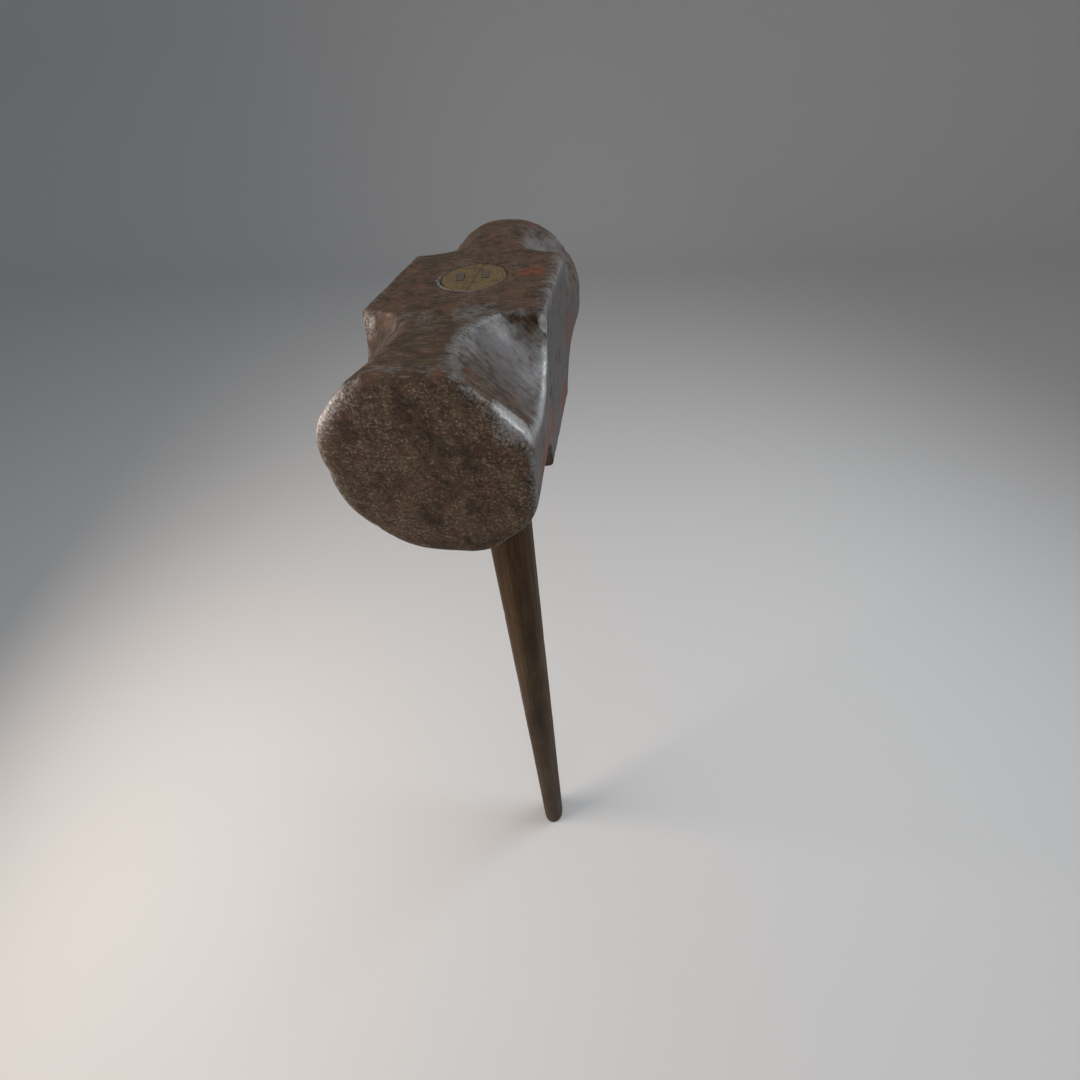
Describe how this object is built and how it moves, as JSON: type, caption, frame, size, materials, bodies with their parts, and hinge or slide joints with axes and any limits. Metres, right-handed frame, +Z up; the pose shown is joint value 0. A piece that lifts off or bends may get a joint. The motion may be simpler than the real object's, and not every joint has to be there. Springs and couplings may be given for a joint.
{
  "type": "sledgehammer",
  "caption": "Double-faced sledgehammer: a forged steel head with a square middle block and rounded ends, wedged on a long straight oval wooden handle.",
  "frame": {"origin": "centre of the flat end of the handle's butt, which is also the bottom centre of the whole tool's box", "axes": "+Z up the handle towards the head; X along the striking axis, a striking face at each end; Y across the head, cheek to cheek"},
  "size_m": [0.1915, 0.085, 0.9167],
  "materials": {
    "forged_steel": "old forged steel, brown with rust, finely pitted, bright where edges are worn",
    "handle_wood": "bare weathered hardwood, long straight grain, greyed and hand-worn",
    "wedge_wood": "bare hardwood, sawn end grain showing",
    "wedge_iron": "hammered-in grey iron, a little rust at the edges"
  },
  "bodies": {
    "root": {"head": "forged_steel", "handle": "handle_wood", "wooden_wedge": "wedge_wood", "steel_wedge_left": "wedge_iron", "steel_wedge_right": "wedge_iron"}
  },
  "joints": []
}
